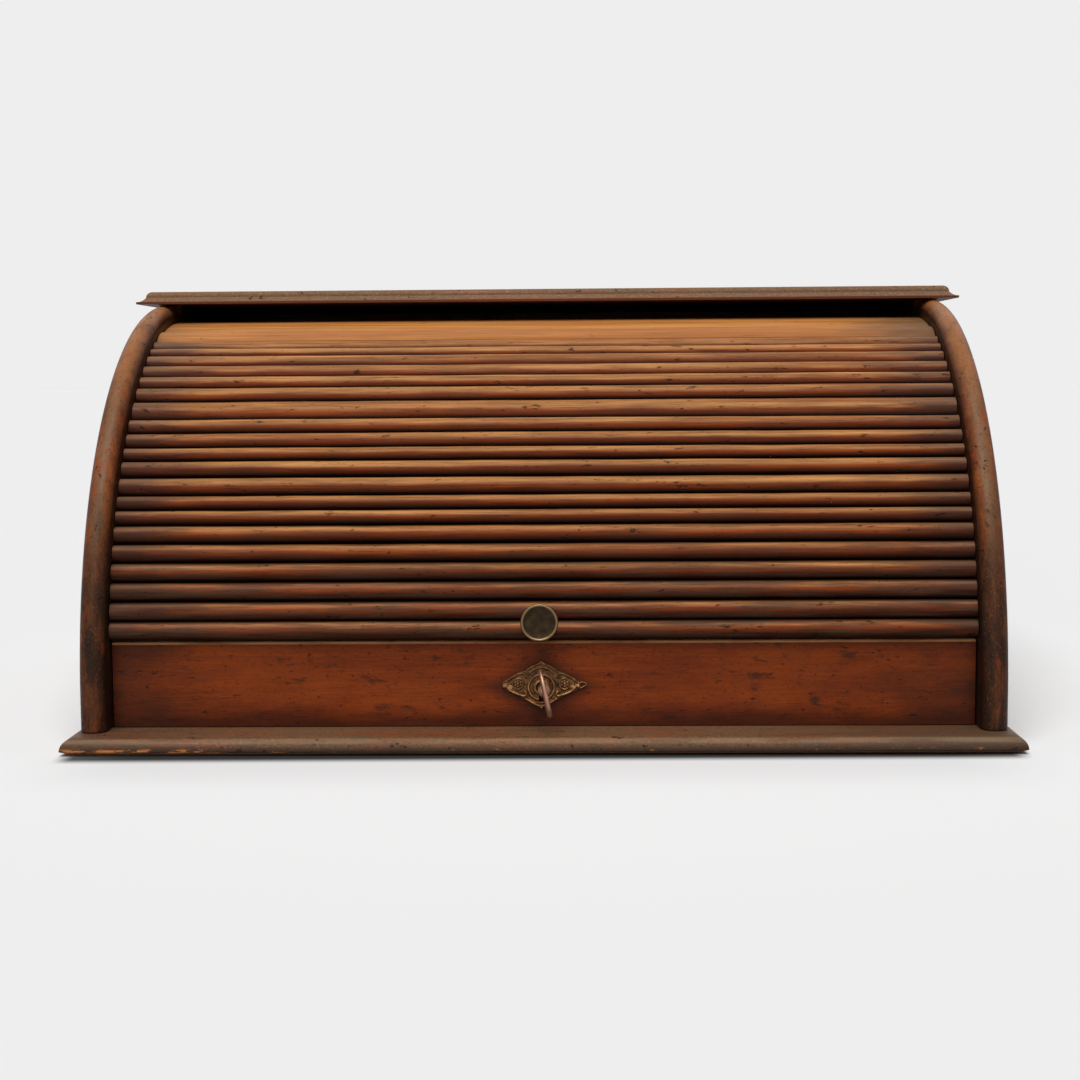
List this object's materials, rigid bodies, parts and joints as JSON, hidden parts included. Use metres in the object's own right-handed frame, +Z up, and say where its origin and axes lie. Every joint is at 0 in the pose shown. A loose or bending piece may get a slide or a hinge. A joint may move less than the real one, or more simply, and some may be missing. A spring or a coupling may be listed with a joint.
{
  "type": "tambour lid box",
  "caption": "Wooden roll-top letter box with a slatted shutter in curved grooves, round-shouldered sides, moulded base and top, and a locking drawer below.",
  "frame": {"origin": "middle of the base board's underside", "axes": "+Z up; +X along the width, to the right seen from the front; the front with the drawer and the shutter faces -Y"},
  "size_m": [0.455, 0.3894, 0.224],
  "materials": {
    "moulded_wood": "worn varnish, grey-brown with orange chips on the arris",
    "side_wood": "worn satin varnish, dark",
    "slat_wood": "satin varnish, uneven from slat to slat",
    "drawer_front_wood": "satin varnish, red-brown with dark specks",
    "inner_wood": "bare planed wood",
    "canvas": "plain woven linen",
    "knob_brass": "dark aged brass, bright at the rim",
    "escutcheon_brass": "pressed brass, dark in the hollows",
    "lock_brass": "dull brass",
    "key_metal": "worn coppery steel",
    "screw_steel": "dull steel"
  },
  "bodies": {
    "case": {"base_board": "moulded_wood", "left_side": "side_wood", "right_side": "side_wood", "top_board": "moulded_wood", "back_panel": "inner_wood", "inner_back": "inner_wood", "compartment_floor": "inner_wood", "strike_plate": "lock_brass", "drawer_stop_left": "inner_wood", "drawer_stop_right": "inner_wood", "base_screw_1": "screw_steel", "base_screw_2": "screw_steel", "base_screw_3": "screw_steel", "base_screw_4": "screw_steel", "base_screw_5": "screw_steel", "base_screw_6": "screw_steel"},
    "tambour": {"lead_rail": "slat_wood", "slat_01": "slat_wood", "slat_02": "slat_wood", "slat_03": "slat_wood", "slat_04": "slat_wood", "slat_05": "slat_wood", "slat_06": "slat_wood", "slat_07": "slat_wood", "slat_08": "slat_wood", "slat_09": "slat_wood", "slat_10": "slat_wood", "slat_11": "slat_wood", "slat_12": "slat_wood", "slat_13": "slat_wood", "slat_14": "slat_wood", "slat_15": "slat_wood", "slat_16": "slat_wood", "slat_17": "slat_wood", "slat_18": "slat_wood", "tail_slat": "slat_wood", "tail_board": "slat_wood", "canvas": "canvas", "knob": "knob_brass", "knob_screw": "screw_steel"},
    "drawer": {"drawer_front": "drawer_front_wood", "drawer_side_left": "inner_wood", "drawer_side_right": "inner_wood", "drawer_back": "inner_wood", "drawer_bottom": "inner_wood", "lock_case": "lock_brass", "escutcheon": "escutcheon_brass", "escutcheon_pin_left": "lock_brass", "escutcheon_pin_right": "lock_brass", "lock_screw_1": "screw_steel", "lock_screw_2": "screw_steel", "lock_screw_3": "screw_steel", "lock_screw_4": "screw_steel"},
    "bolt": {"lock_bolt": "lock_brass"},
    "key": {"key": "key_metal"}
  },
  "joints": [
    {"name": "shutter_roll", "type": "hinge", "parent": "case", "child": "tambour", "pos_m": [0, 0.01275, 0.024], "axis": [-1, 0, 0], "range_deg": [0, 60]},
    {"name": "drawer_slide", "type": "slide", "parent": "case", "child": "drawer", "axis": [0, -1, 0], "range_m": [0, 0.24]},
    {"name": "key_turn", "type": "hinge", "parent": "drawer", "child": "key", "pos_m": [-0.0003, -0.16425, 0.0273], "axis": [0, 1, 0], "range_deg": [0, 120]},
    {"name": "bolt_throw", "type": "slide", "parent": "drawer", "child": "bolt", "axis": [0, 0, 1], "range_m": [0, 0.005]}
  ],
  "couplings": [
    {"joint": "bolt_throw", "follows": "key_turn", "m_per_rad": 0.0023873}
  ]
}
